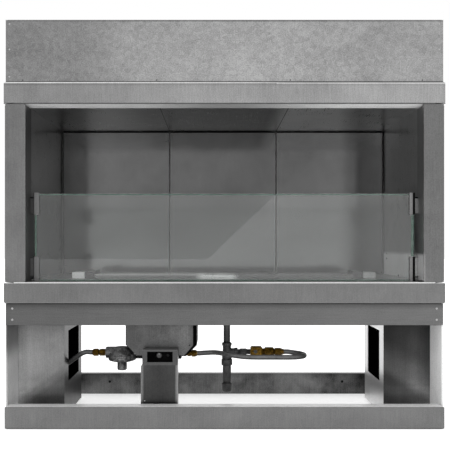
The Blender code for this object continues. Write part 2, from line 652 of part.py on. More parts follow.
def burner_hose_route():
    """Out of the valve, across in front of the tee, and round a level loop into the shut-off valve."""
    loop_x, loop_depth = 0.1535, TRAIN_DEPTH - LOOP_RADIUS
    route = [(-0.0661, VALVE_DEPTH, OUTLET_Z), (-0.0610, VALVE_DEPTH, OUTLET_Z), (-0.0420, 0.1405, 0.1552),
             (-0.022, 0.134, 0.1567), (-0.004, 0.115, 0.1573), (0.0186, 0.092, 0.1563),
             (0.047, 0.0765, 0.1549),
             (0.0754, 0.0715, 0.1545), (0.112, 0.0713, 0.1545)]
    for degrees, height in zip(range(-90, 61, 30), (0.1543, 0.1540, 0.1536, 0.1533, 0.1532, 0.1536)):
        angle = math.radians(degrees)
        route.append((loop_x + LOOP_RADIUS * math.cos(angle), loop_depth + LOOP_RADIUS * math.sin(angle),
                      height))
    return route + [(0.1615, TRAIN_DEPTH, TRAIN_Z), (0.1560, TRAIN_DEPTH, TRAIN_Z),
                    (0.1510, TRAIN_DEPTH, TRAIN_Z)]


def build_burner_side():
    """Burner hose, brass shut-off valve, tee, riser and drip leg."""
    hose("burner_hose", "grey_coating", burner_hose_route(), HOSE_DIAMETER)
    fitting("burner_flare_nut", "brass", (0.1280, back(TRAIN_DEPTH), TRAIN_Z), (1, 0, 0),
            [(0, 0.0075, "round"), (0.0015, 0.0092, "hex"), (0.0150, 0.0092, "hex"),
             (0.0190, 0.0078, "round"),
             (0.0227, 0.0068, "round")])
    valve = box("shutoff_valve", "brass", (0.0670, back(0.148), 0.1438), (0.0960, back(0.172), 0.1687))
    union = fitting("union_nut", None, (0.0900, back(TRAIN_DEPTH), TRAIN_Z), (1, 0, 0),
                    [(0, 0.0080, "round"), (0.0115, 0.0080, "round"), (0.0130, 0.0108, "hex"),
                     (0.0340, 0.0108, "hex"),
                     (0.0355, 0.0088, "round"), (0.0377, 0.0075, "round")])
    boss_x, boss_z = 0.0790, 0.1580
    boss = rod("stem_boss", None, (boss_x, back(0.1445), boss_z), (boss_x, back(0.150), boss_z), 0.0072)
    boolean(valve, union, "UNION")
    boolean(valve, boss, "UNION")
    stem = rod("shutoff_stem", "black_iron", (boss_x, back(0.1370), boss_z),
               (boss_x, back(0.1442), boss_z), 0.0045)
    slot = box("stem_slot", None, (boss_x - 0.006, back(0.1360), boss_z - 0.0008),
               (boss_x + 0.006, back(0.1390), boss_z + 0.0008))
    boolean(stem, slot, "DIFFERENCE")
    fitting("branch_nipple", "black_iron", (0.0363, back(TRAIN_DEPTH), TRAIN_Z), (1, 0, 0),
            [(0, 0.0066, "round"), (0.006, 0.0066, "round"), (0.006, 0.0076, "hex"), (0.021, 0.0076, "hex"),
             (0.021, 0.0066, "round"), (0.0304, 0.0066, "round")])
    tee = turned("pipe_tee", "black_iron", (RISER_X, back(TRAIN_DEPTH), TRAIN_Z), (0, 0, 1),
                 [(0, 0.0231), (0.0112, 0.0231), (0.0123, 0.0220), (0.0123, 0.0160), (0.0106, 0.0145),
                  (0.0106, -0.0085), (0.0123, -0.0100), (0.0123, -0.0160), (0.0112, -0.0171), (0, -0.0171)])
    branch = turned("tee_branch", None, (RISER_X, back(TRAIN_DEPTH), TRAIN_Z), (1, 0, 0),
                    [(0, 0.0270), (0.0090, 0.0270), (0.0100, 0.0260), (0.0100, 0.0200), (0.0088, 0.0190),
                     (0.0088, 0),
                     (0, 0)])
    boolean(tee, branch, "UNION")
    rod("riser_pipe", "black_iron", (RISER_X, back(TRAIN_DEPTH), TRAIN_Z + 0.0231 + GAP),
        (RISER_X, back(TRAIN_DEPTH), PAN_BOTTOM + 0.006 - GAP), 0.00855)
    turned("drip_leg_pipe", "black_iron", (RISER_X, back(TRAIN_DEPTH), 0.0776), (0, 0, 1),
           [(0, 0.0600), (0.0122, 0.0600), (0.0138, 0.0584), (0.0138, 0.0454), (0.0122, 0.0438),
            (0.01065, 0.0438),
            (0.01065, 0), (0, 0)])
    turned("drip_leg_cap", "black_iron", (RISER_X, back(TRAIN_DEPTH), 0.0547), (0, 0, 1),
           [(0, 0.0226), (0.0122, 0.0226), (0.0134, 0.0214), (0.0134, 0.0170), (0.0126, 0.0160),
            (0.0126, 0.0040),
            (0.0105, 0.0008), (0.0070, 0), (0, 0)])


def main():
    build_stand()
    build_casing()
    build_firebox()
    build_burner()
    build_glass()
    build_controls()
    build_supply_side()
    build_burner_side()
    bpy.context.view_layer.update()


main()
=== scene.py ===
"""Looks of the gas fireplace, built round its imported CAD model."""
import math

import bmesh
import bpy
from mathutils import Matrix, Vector


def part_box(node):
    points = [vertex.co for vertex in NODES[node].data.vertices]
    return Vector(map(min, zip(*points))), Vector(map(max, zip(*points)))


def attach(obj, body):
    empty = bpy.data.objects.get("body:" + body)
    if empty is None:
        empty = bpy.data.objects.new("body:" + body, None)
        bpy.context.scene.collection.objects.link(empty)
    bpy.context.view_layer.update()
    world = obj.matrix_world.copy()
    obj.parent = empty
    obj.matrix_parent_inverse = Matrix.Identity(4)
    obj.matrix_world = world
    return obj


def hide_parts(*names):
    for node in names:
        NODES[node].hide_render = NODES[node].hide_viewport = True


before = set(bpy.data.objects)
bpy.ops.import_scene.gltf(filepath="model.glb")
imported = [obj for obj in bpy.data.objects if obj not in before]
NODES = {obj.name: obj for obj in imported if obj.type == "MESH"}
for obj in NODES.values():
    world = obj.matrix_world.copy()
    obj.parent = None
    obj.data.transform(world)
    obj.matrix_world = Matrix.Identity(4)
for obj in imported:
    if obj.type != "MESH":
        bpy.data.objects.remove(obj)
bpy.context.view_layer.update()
ROOT = "fireplace"
X_AXIS, Z_AXIS = (1, 0, 0), (0, 0, 1)
LEFTWARD, FORWARD = (-1, 0, 0), (0, -1, 0)
DEPTH = 0.432
SMOOTH_ANGLE, ROUNDING_ANGLE = math.radians(35), math.radians(50)


def back(depth):
    """Y coordinate of a depth behind the front plane."""
    return depth - DEPTH / 2


# ---------------------------------------------------------------- shader nodes

def node(tree, kind, inputs=None, **settings):
    """Add a shader node, with its settings and its inputs, which are values or other sockets."""
    made = tree.nodes.new(kind)
    for key, value in settings.items():
        setattr(made, key, value)
    for key, value in (inputs or {}).items():
        if isinstance(value, bpy.types.NodeSocket):
            tree.links.new(value, made.inputs[key])
        else:
            made.inputs[key].default_value = value
    return made


def grey(level):
    """Neutral colour of a linear level."""
    return (level, level, level, 1)


def place(tree, stretch=(1, 1, 1), offset=(0, 0, 0)):
    """Object coordinates in metres, stretched."""
    coords = node(tree, "ShaderNodeTexCoord")
    return node(tree, "ShaderNodeMapping", {"Vector": coords.outputs["Object"], "Scale": stretch,
                                            "Location": offset}).outputs["Vector"]


def noise(tree, scale, detail=2.0, roughness=0.5, stretch=(1, 1, 1), offset=(0, 0, 0)):
    """Value of a noise texture of that many features a metre."""
    return node(tree, "ShaderNodeTexNoise", {"Vector": place(tree, stretch, offset), "Scale": scale,
                                             "Detail": detail, "Roughness": roughness}).outputs["Fac"]


def cells(tree, scale):
    """Random value of each Voronoi cell."""
    made = node(tree, "ShaderNodeTexVoronoi", {"Vector": place(tree), "Scale": scale})
    return node(tree, "ShaderNodeSeparateColor", {"Color": made.outputs["Color"]}).outputs[0]


def remap(tree, value, low, high, to_low, to_high):
    """Value moved from one range to another, and held inside it."""
    return node(tree, "ShaderNodeMapRange", {"Value": value, "From Min": low, "From Max": high,
                                             "To Min": to_low, "To Max": to_high}).outputs["Result"]


def maths(tree, operation, first, second=0.0, clamp=False):
    """Result of a math node."""
    made = node(tree, "ShaderNodeMath", {0: first, 1: second}, operation=operation, use_clamp=clamp)
    return made.outputs[0]


def blend_colour(tree, share, first, second):
    """Colour between two colours."""
    made = node(tree, "ShaderNodeMix", {"Factor": share}, data_type="RGBA")
    for socket, value in ((made.inputs[6], first), (made.inputs[7], second)):
        if isinstance(value, bpy.types.NodeSocket):
            tree.links.new(value, socket)
        else:
            socket.default_value = value
    return made.outputs[2]


def weigh(tree, *pairs):
    """Weighted sum of values: (value, weight), ..."""
    total = None
    for value, weight in pairs:
        part = maths(tree, "MULTIPLY", value, weight)
        total = part if total is None else maths(tree, "ADD", total, part)
    return total


def new_material(name):
    """A material, its node tree and its Principled shader."""
    material = bpy.data.materials.new(name)
    material.use_nodes = True
    return material, material.node_tree, material.node_tree.nodes["Principled BSDF"]


def finish(tree, shader, colour, metallic, roughness, height=None, relief=0.0, strength=0.5, **extra):
    """Set the main inputs of a Principled shader."""
    values = {"Base Color": colour, "Metallic": metallic, "Roughness": roughness}
    values.update(extra)
    for key, value in values.items():
        if isinstance(value, bpy.types.NodeSocket):
            tree.links.new(value, shader.inputs[key])
        else:
            shader.inputs[key].default_value = value
    if height is not None:
        bump = node(tree, "ShaderNodeBump", {"Height": height, "Distance": relief, "Strength": strength})
        tree.links.new(bump.outputs["Normal"], shader.inputs["Normal"])


# ---------------------------------------------------------------- materials

def linear(level):
    """Linear value of a display grey from 0 to 255."""
    share = level / 255
    return share / 12.92 if share <= 0.04045 else ((share + 0.055) / 1.055) ** 2.4


def along(tree, direction):
    """Distance along a direction, in metres."""
    made = node(tree, "ShaderNodeVectorMath", {0: place(tree), 1: direction}, operation="DOT_PRODUCT")
    return made.outputs["Value"]


def ramp(tree, value, stops):
    """Value that passes smoothly through stops of position and level."""
    low, high = stops[0][0], stops[-1][0]
    peak = max(1.0, *(level for _, level in stops))
    share = remap(tree, value, low, high, 0, 1)
    made = node(tree, "ShaderNodeValToRGB", {"Fac": share})
    made.color_ramp.interpolation = "EASE"
    elements = made.color_ramp.elements
    while len(elements) < len(stops):
        elements.new(0.5)
    for element, (position, level) in zip(elements, stops):
        element.position = (position - low) / (high - low)
        element.color = grey(level / peak)
    level = node(tree, "ShaderNodeSeparateColor", {"Color": made.outputs["Color"]}).outputs[0]
    return maths(tree, "MULTIPLY", level, peak)


AXES = {"x": X_AXIS, "y": (0, 1, 0), "z": Z_AXIS}


def within(tree, limits, soft=0.0003):
    """Mask of a box: limits maps an axis letter to its low and high end, either of them None."""
    mask = None
    for axis, (low, high) in limits.items():
        value = along(tree, AXES[axis])
        for edge, rising in ((low, True), (high, False)):
            if edge is None:
                continue
            ends = (0, 1) if rising else (1, 0)
            part = remap(tree, value, edge - soft, edge + soft, *ends)
            mask = part if mask is None else maths(tree, "MULTIPLY", mask, part)
    return mask


def level_along(tree, levels, direction):
    """Linear value of one display grey, or of stops of position and display grey along a direction."""
    if isinstance(levels, (int, float)):
        return linear(levels)
    return ramp(tree, along(tree, direction), [(spot, linear(level)) for spot, level in levels])


def sheet_steel(name, levels, roughness=0.4, direction=X_AXIS, factors=(), zones=(), speckle=0.14, cloud=0.10,
                grain=(1, 1, 0.03), spangle=0.0, metallic=1.0, relief=0.00002, seed=0.0):
    """Mill-finished sheet: grain, speckle, clouding and smudges over a broad change of grey that paints in
    light and shade.

    levels are display greys along direction, factors are (direction, stops) pairs that it is multiplied
    by, and a zone is (limits, display grey or greys along X, metallic, roughness, softness). Levels,
    factors and zones paint light and shade into the colour: gradients of light, shadows, highlights and
    reflections.
    """
    material, tree, shader = new_material(name)
    shift = (seed, seed * 1.7, seed * 0.6)
    blotch = noise(tree, 7, 4, 0.6, offset=shift)
    lines = noise(tree, 700, 2, 0.6, stretch=grain)
    speck = noise(tree, 380, 2, 0.75)
    hand = noise(tree, 24, 4, 0.65, offset=(3.1 + seed, 1.7, 0.4))
    # tone holds painted light and shade: greys and factors set by where light falls and shade lies
    tone = maths(tree, "ADD", level_along(tree, levels, direction), 0.0)
    for factor_direction, stops in factors:
        tone = maths(tree, "MULTIPLY", tone, ramp(tree, along(tree, factor_direction), stops))
    texture = weigh(tree, (remap(tree, lines, 0.3, 0.7, -1, 1), speckle * 0.6),
                    (remap(tree, speck, 0.3, 0.7, -1, 1), speckle),
                    (remap(tree, blotch, 0.3, 0.7, -1, 1), cloud),
                    (remap(tree, hand, 0.3, 0.7, -1, 1), cloud * 0.6))
    if spangle:
        texture = maths(tree, "ADD", texture, remap(tree, cells(tree, 120), 0, 1, -spangle, spangle))
    metal = maths(tree, "ADD", metallic, 0.0)
    rough = maths(tree, "ADD", weigh(tree, (lines, 0.12), (speck, 0.06), (hand, 0.1)), roughness - 0.14)
    # zones paint highlights, shadows and reflections onto folds, edges and faces
    for limits, level, zone_metal, zone_rough, *soft in zones:
        mask = within(tree, limits, *soft)
        wanted = level_along(tree, level, X_AXIS)
        for_zone = [(tone, wanted), (metal, zone_metal), (rough, zone_rough)]
        tone, metal, rough = [node(tree, "ShaderNodeMix", {0: mask, 2: before, 3: after}).outputs[0]
                              for before, after in for_zone]
    shade = maths(tree, "MULTIPLY", tone, maths(tree, "ADD", texture, 1.0), clamp=True)
    colour = node(tree, "ShaderNodeCombineColor", {0: shade, 1: shade, 2: shade}).outputs[0]
    finish(tree, shader, colour, metal, rough, weigh(tree, (lines, 0.6), (speck, 0.4)), relief, 0.4)
    return material


def facing_light(tree):
    """Share by which a surface faces up and to the front, where painted light falls on it."""
    normal = node(tree, "ShaderNodeNewGeometry").outputs["Normal"]
    value = node(tree, "ShaderNodeVectorMath", {0: normal, 1: (-0.15, -0.72, 0.66)}, operation="DOT_PRODUCT")
    return remap(tree, value.outputs["Value"], -0.1, 1.0, 0, 1)


def cast_metal(name, dark, light, roughness, metallic=0.4, grain=500, relief=0.0002, patches=60, painted_light=0.5,
               spread=0.15):
    """Cast or rolled metal with a pitted skin and painted light: darker below as painted shade, and lighter,
    with painted highlights on its patches, where it faces up and to the front.
    """
    material, tree, shader = new_material(name)
    skin = noise(tree, grain, 3, 0.65)
    patch = noise(tree, patches, 3, 0.6)
    share = remap(tree, weigh(tree, (skin, 0.4), (patch, 0.6)), 0.51 - spread, 0.51 + spread, 0, 1)
    # painted light: what faces up and to the front is lightened, what faces down is darkened as painted shade
    facing = maths(tree, "POWER", facing_light(tree), 1.6)
    painted_lit_patches = maths(tree, "MULTIPLY", share, facing)
    share = weigh(tree, (share, 1 - painted_light), (facing, painted_light * 0.7), (painted_lit_patches, painted_light * 0.5))
    colour = blend_colour(tree, share, dark, light)
    rough = maths(tree, "ADD", weigh(tree, (skin, 0.2)), roughness - 0.1)
    finish(tree, shader, colour, metallic, rough, skin, relief, 0.5, **{"Specular IOR Level": 0.2})
    return material


def coated(name, dark, light, roughness, **extra):
    """Plastic or powder coating with a slight texture and scuffs."""
    material, tree, shader = new_material(name)
    skin = noise(tree, 300, 2, 0.6)
    scuff = noise(tree, 45, 4, 0.65)
    share = remap(tree, weigh(tree, (skin, 0.3), (scuff, 0.7)), 0.38, 0.66, 0, 1)
    colour = blend_colour(tree, share, dark, light)
    rough = maths(tree, "ADD", weigh(tree, (scuff, 0.16)), roughness - 0.08)
    finish(tree, shader, colour, 0.0, rough, skin, 0.0001, 0.4, **extra)
    return material


def clear_glass(name):
    """Clear glass with a trace of dust."""
    material, tree, shader = new_material(name)
    dust = remap(tree, noise(tree, 40, 4, 0.6), 0.55, 0.8, 0.0, 0.03)
    finish(tree, shader, (0.955, 0.975, 0.966, 1), 0.0, dust,
           **{"Transmission Weight": 1.0, "IOR": 1.5})
    return material


def edge_glass(name):
    """Green of a cut glass edge."""
    material, tree, shader = new_material(name)
    streak = remap(tree, noise(tree, 60, 3, 0.6), 0.35, 0.65, 0, 1)
    colour = blend_colour(tree, streak, (0.04, 0.13, 0.09, 1), (0.12, 0.25, 0.19, 1))
    finish(tree, shader, colour, 0.0, 0.2, **{"IOR": 1.5})
    return material


def pale_floor(name):
    """Pale floor that lights up enough to read as a white ground."""
    material, tree, shader = new_material(name)
    tone = remap(tree, noise(tree, 2, 2), 0.3, 0.7, 0.86, 0.9)
    colour = node(tree, "ShaderNodeCombineColor", {0: tone, 1: tone, 2: tone}).outputs[0]
    finish(tree, shader, colour, 0.0, 0.7, **{"Emission Color": (1, 1, 1, 1), "Emission Strength": 0.62})
    return material


HEADER_BOTTOM, LEDGE_TOP = 0.748, 0.338
POST_INNER_X = 0.4598
SIDE_INNER_X, SIDE_OUTER_X = 0.5035, 0.5043
COLUMN_REAR_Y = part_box("column_rear_panel_left")[0].y + 0.0006
CLOSED_DEPTHS = (back(0.102), back(0.325))
COLUMN_INSIDE = (back(0.1019), None)
# painted shade: near black inside the closed columns and side panels
PAINTED_SHADE_INSIDE = (9, 1.0, 0.75)

# Each sheet has display greys at places in metres, along X unless another direction follows. Most of these
# greys, with their factors and zones, are painted light and shade: gradients of light, shadows, highlights
# and reflections.
LOOKS = {
    "bottom_band": sheet_steel(
        "band_steel", [(-0.5, 115), (0, 114), (0.5, 110)], 0.4,
        # painted light: the top flange is near white as a painted highlight, and the foot of the face dark as
        # painted shade
        zones=[({"z": (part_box("base_front_rail")[1].z - 0.0006, None)}, 242, 0.1, 0.35),
               ({"z": (None, 0.0025), "y": (None, back(0.003))}, 80, 1.0, 0.4)]),
    "ledge": sheet_steel(
        "ledge_steel", [(-0.5, 109), (0, 107), (0.5, 111)], 0.4, seed=1.3,
        # painted light: the top face and top fold are bright as painted highlights, the bottom edge slightly
        # lighter as a painted highlight
        zones=[({"z": (LEDGE_TOP - 0.0017, None), "y": (back(0.002), None)}, 150, 0.2, 0.3),
               ({"z": (LEDGE_TOP - 0.0021, None), "y": (None, back(0.0021))}, 244, 0.2, 0.3),
               ({"z": (None, 0.2912)}, 118, 1.0, 0.4)]),
    "header": sheet_steel(
        # painted light and shade: brighter to the middle and right, a bright underside as painted light from
        # below, a dark bottom fold and a dark line near the top as painted shade, and a painted highlight on
        # the top edge
        "header_steel", [(-0.5, 131), (-0.37, 133), (0, 150), (0.37, 150), (0.5, 146)], 0.4, seed=2.1,
        speckle=0.18,
        zones=[({"z": (None, HEADER_BOTTOM + 0.001), "y": (back(0.002), None)},
                [(-0.46, 225), (-0.3, 214), (0, 152), (0.3, 240), (0.46, 245)], 0.0, 0.4),
               ({"z": (None, HEADER_BOTTOM + 0.0024), "y": (None, back(0.0021))}, 88, 1.0, 0.4),
               ({"z": (0.7905, 0.7936)}, [(-0.5, 116), (0, 138), (0.5, 138)], 1.0, 0.4),
               ({"z": (0.7936, None), "x": (0.12, None)}, 178, 0.6, 0.4),
               ({"z": (0.7957, None)}, [(-0.5, 212), (0.08, 200), (0.16, 158), (0.5, 158)], 0.5, 0.4)]),
    "post": sheet_steel(
        "post_steel", [(0.34, 108), (0.52, 108), (0.75, 111)], 0.4, Z_AXIS, seed=3.7,
        factors=[(X_AXIS, [(-0.5, 1.02), (0.45, 0.9), (0.5, 0.86)])],
        # painted light: the inner returns brighten to the right, with a bright patch of painted light low on
        # the right one
        zones=[({"x": (-POST_INNER_X, POST_INNER_X), "y": (back(0.003), None)},
                [(-0.46, 104), (0.46, 150)], 1.0, 0.4),
               ({"x": (0.1, POST_INNER_X), "y": (back(0.003), None), "z": (None, 0.402)},
                205, 0.1, 0.4, 0.004)]),
    "clip": sheet_steel(
        "clip_steel", [(-0.46, 108), (0.46, 120)], 0.35, seed=5.0, metallic=0.7,
        zones=[({"x": (None, -0.4485)}, 30, 0.9, 0.6),
               ({"x": (0.4442, None)}, 14, 0.9, 0.6)]),
    "bracket": sheet_steel(
        # painted light: darker on the left, brighter on the right and towards the foot
        "bracket_steel", [(-0.46, 62), (0.45, 118), (0.46, 104)], 0.4, seed=5.6, metallic=0.6,
        factors=[(Z_AXIS, [(0.35, 1.7), (0.40, 1.6), (0.49, 1.0), (0.54, 1.0)])]),
    "upper_rail": sheet_steel(
        "upper_rail_steel", [(-0.5, 92), (-0.4, 93), (0, 97), (0.4, 101), (0.5, 103)], 0.42,
        grain=(0.03, 1, 1), cloud=0.07,
        # painted shadow: darker towards the top, under the ledge
        factors=[(Z_AXIS, [(0.238, 1.0), (0.272, 1.0), (0.2893, 0.60)])]),
    "side_panel_left": sheet_steel(
        # painted light: the inner face is bright at the foot and darker upwards; the closed inside is painted
        # shade
        "side_panel_steel_left", [(0.0, 214), (0.14, 186), (0.2, 90), (0.29, 60)], 0.4, Z_AXIS,
        metallic=0.2, seed=4.0,
        zones=[({"y": CLOSED_DEPTHS, "x": (-SIDE_INNER_X, None)}, *PAINTED_SHADE_INSIDE),
               ({"x": (None, -SIDE_OUTER_X)}, 112, 1.0, 0.4)]),
    "side_panel_right": sheet_steel(
        # painted light: the inner face is almost white; the closed inside is painted shade
        "side_panel_steel_right", [(0.0, 250), (0.29, 246)], 0.4, Z_AXIS, metallic=0.1, seed=6.0,
        zones=[({"y": CLOSED_DEPTHS, "x": (None, SIDE_INNER_X)}, *PAINTED_SHADE_INSIDE),
               ({"x": (SIDE_OUTER_X, None)}, 112, 1.0, 0.4)]),
    "column_left": sheet_steel(
        "column_steel_left",
        # painted shadow and light: a diagonal painted shadow low on the panel, brighter near the outer edge
        # and the foot; the inside is painted shade
        [(0.31, 78), (0.35, 74), (0.37, 82), (0.39, 100), (0.41, 118), (0.44, 128), (0.62, 128)], 0.36,
        (-0.7, 0, 1.0), seed=0.4, cloud=0.14,
        factors=[(X_AXIS, [(-0.50, 1.9), (-0.478, 1.4), (-0.46, 1.0), (-0.44, 0.9), (-0.36, 0.84)]),
                 (Z_AXIS,
                  [(0.045, 2.4), (0.06, 2.1), (0.075, 1.5), (0.10, 1.1), (0.19, 0.95), (0.235, 0.72)])],
        zones=[({"y": COLUMN_INSIDE}, *PAINTED_SHADE_INSIDE)]),
    "column_right": sheet_steel(
        "column_steel_right",
        # painted shadow and light: a diagonal painted shadow, darker to the left and brighter near the outer
        # edge and the foot; the inside is painted shade
        [(0.226, 112), (0.285, 84), (0.325, 72), (0.35, 92), (0.43, 56), (0.51, 42), (0.57, 38)], 0.36,
        (0.569, 0, 1.0), seed=1.4, cloud=0.14,
        factors=[(X_AXIS, [(0.37, 0.45), (0.40, 0.5), (0.436, 0.74), (0.47, 1.3), (0.50, 1.4)]),
                 (Z_AXIS,
                  [(0.045, 2.3), (0.06, 2.1), (0.072, 1.6), (0.085, 1.15), (0.10, 1.0), (0.24, 1.0)])],
        zones=[({"y": COLUMN_INSIDE}, *PAINTED_SHADE_INSIDE)]),
    "column_wall": sheet_steel(
        # painted shade: the left inner wall is a shaded copy of the right one
        "column_wall_steel", [(0.0, 52), (0.1, 38), (0.29, 32)], 0.4, Z_AXIS, seed=2.4),
    "column_wall_right": sheet_steel(
        # painted light: the right inner wall is a lit copy of the left one
        "column_wall_steel_right", [(0.0, 222), (0.03, 200), (0.075, 150), (0.1, 200), (0.29, 214)], 0.35,
        Z_AXIS, seed=2.9, metallic=0.6),
    "pedestal": sheet_steel(
        "pedestal_steel",
        # painted light: painted highlights down the left and right edges of the front, and set greys on the
        # top faces
        [(-0.1967, 120), (-0.1925, 104), (-0.189, 64), (-0.152, 57), (-0.117, 61), (-0.113, 112),
         (-0.1098, 136)], 0.36, seed=0.9, cloud=0.16,
        zones=[({"z": (0.1405, None)}, 76, 1.0, 0.36),
               ({"z": (0.1761, None)}, 120, 0.5, 0.4)]),
    "rear_rail": sheet_steel(
        "rear_rail_steel", [(-0.5, 96), (0, 95), (0.5, 95)], 0.4, seed=8.2, cloud=0.6, speckle=0.3),
    "column_rear": sheet_steel(
        "column_rear_steel", 110, 0.4, seed=8.8,
        # painted shade: the face inside the column is near black
        zones=[({"y": (None, COLUMN_REAR_Y)}, 8, 1.0, 0.75)]),
    "hood": sheet_steel(
        # painted light: brighter towards the middle and right; the bottom edge is a dark line of painted
        # shade and the top fold a set darker grey
        "galvanised_sheet", [(-0.5, 128), (-0.38, 134), (-0.15, 155), (0.1, 161), (0.4, 150), (0.5, 146)],
        0.5, spangle=0.10, speckle=0.26, cloud=0.10, grain=(1, 1, 1), relief=0.00003, seed=7.0,
        zones=[({"z": (None, 0.8018)}, 84, 1.0, 0.5),
               ({"z": (0.9395, None)}, 120, 1.0, 0.5)]),
    "casing": sheet_steel(
        "galvanised_casing", 150, 0.48, spangle=0.12, speckle=0.12, cloud=0.12, grain=(1, 1, 1),
        relief=0.00003, seed=9.0),
    "liner": sheet_steel(
        "liner_sheet",
        # painted light and shade: greys along X and Z follow the light; the two seams are dark joints
        [(-0.46, 74), (-0.42, 92), (-0.39, 101), (-0.05, 96), (0.12, 89), (0.33, 88), (0.365, 76),
         (0.38, 80), (0.46, 90)], 0.13, speckle=0.10, cloud=0.10,
        factors=[(Z_AXIS, [(0.34, 1.0), (0.45, 0.90), (0.555, 0.89), (0.595, 0.97), (0.75, 1.0)])],
        zones=[({"x": (-0.1532, -0.1508)}, 30, 1.0, 0.5),
               ({"x": (0.1508, 0.1532)}, 22, 1.0, 0.5),
               # painted shade: near black in the corners by the side liners and under the ceiling
               ({"x": (None, -0.4547)}, 8, 0.6, 0.5),
               ({"x": (0.4547, None)}, 8, 0.6, 0.5),
               ({"z": (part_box("ceiling_panel")[0].z - 0.0040, None)}, 16, 1.0, 0.5)]),
    "ceiling": sheet_steel(
        "ceiling_sheet",
        # painted light and reflection: bright at both sides, dark in the middle; the seams are dark joints
        [(-0.46, 160), (-0.3, 152), (-0.16, 80), (-0.1, 58), (0.11, 58), (0.165, 198), (0.46, 206)], 0.3,
        grain=(1, 0.03, 1), speckle=0.08,
        zones=[({"x": (-0.1528, -0.1512)}, 25, 1.0, 0.5),
               ({"x": (0.1512, 0.1528)}, 25, 1.0, 0.5)]),
    "liner_left": sheet_steel(
        # painted light: darker low down and bright high up
        "side_liner_sheet_left", [(0.34, 48), (0.38, 72), (0.42, 90), (0.52, 92), (0.58, 148), (0.75, 165)],
        0.3, Z_AXIS, seed=3.0, speckle=0.10),
    "liner_right": sheet_steel(
        "side_liner_sheet_right", [(0.34, 132), (0.52, 139), (0.58, 181), (0.75, 200)], 0.3, Z_AXIS,
        seed=6.0, speckle=0.10,
        # painted light: a near-white patch low on the right side liner
        zones=[({"z": (None, 0.402)}, 254, 0.0, 0.4, 0.005)]),
    "floor": sheet_steel("floor_sheet", 190, 0.3, grain=(0.05, 1, 1), speckle=0.06, seed=2.0),
    "pan": sheet_steel(
        # painted highlights: a bright band in the middle and a bright top edge to the left
        "pan_sheet", [(-0.32, 96), (-0.075, 92), (-0.05, 188), (0.015, 190), (0.04, 84), (0.32, 88)], 0.3,
        grain=(0.05, 1, 1), speckle=0.08,
        zones=[({"z": (0.3500, None)}, [(-0.32, 228), (-0.06, 220), (0.03, 130), (0.32, 112)], 0.3, 0.3)]),
    "tube": sheet_steel("tube_steel", 120, 0.3, grain=(0.05, 1, 1)),
    # painted light: the outer block of the left end stop is white and of the right one grey, lit and shaded
    # copies of one part
    "end_stop_left": sheet_steel(
        "end_stop_left", 62, 0.3,
        zones=[({"x": (None, -0.3446)}, 255, 0.0, 0.3)]),
    "end_stop_right": sheet_steel(
        "end_stop_right", 62, 0.3,
        zones=[({"x": (0.3446, None)}, 150, 0.3, 0.3)]),
    "housing": sheet_steel(
        "housing_cover_steel", [(-0.24, 78), (-0.15, 92), (-0.09, 102), (-0.075, 82)], 0.4, seed=5.4,
        cloud=0.32, speckle=0.2),
    # painted shade: the housing shell is near black
    "housing_shell": sheet_steel("housing_shell_steel", 8, 0.6, seed=5.9),
    "aluminium": cast_metal(
        "cast_aluminium", grey(0.002), grey(0.27), 0.45, patches=95, painted_light=0.55, spread=0.06),
    # painted shade: a shaded copy of the cast aluminium, for the gas valve inside its housing
    "aluminium_shaded": cast_metal("cast_aluminium_shaded", grey(0.006), grey(0.04), 0.5, patches=90),
    "iron": cast_metal("black_iron", grey(0.010), grey(0.11), 0.45, painted_light=0.7),
    "brass": cast_metal(
        "brass_fitting", (0.004, 0.002, 0.0005, 1), (0.24, 0.135, 0.018, 1), 0.4, metallic=0.85,
        relief=0.00005, patches=150, painted_light=0.65, spread=0.08),
    "zinc": cast_metal("zinc_screw", grey(0.28), grey(0.5), 0.3, relief=0.00003),
    # painted light: nearly all of the hose's grey follows how it faces up and to the front
    "hose": cast_metal("hose_coating", grey(0.008), grey(0.21), 0.45, grain=250, painted_light=0.95),
    "black": coated("black_plate", grey(0.001), grey(0.004), 0.7, **{"Specular IOR Level": 0.02}),
    "knob": coated("black_plastic", grey(0.003), grey(0.009), 0.5, **{"Specular IOR Level": 0.1}),
    "cap": cast_metal("silver_cap", grey(0.04), grey(0.09), 0.4, relief=0.00002),
    # painted shade: a shaded copy of the zinc, for fasteners that sit in shade
    "zinc_shaded": cast_metal("zinc_rivet_shaded", grey(0.03), grey(0.16), 0.35, relief=0.00003),
    "dark_button": coated("dark_button", grey(0.003), grey(0.008), 0.5, **{"Specular IOR Level": 0.08}),
    "mark": coated("white_mark", grey(0.5), grey(0.62), 0.5),
}

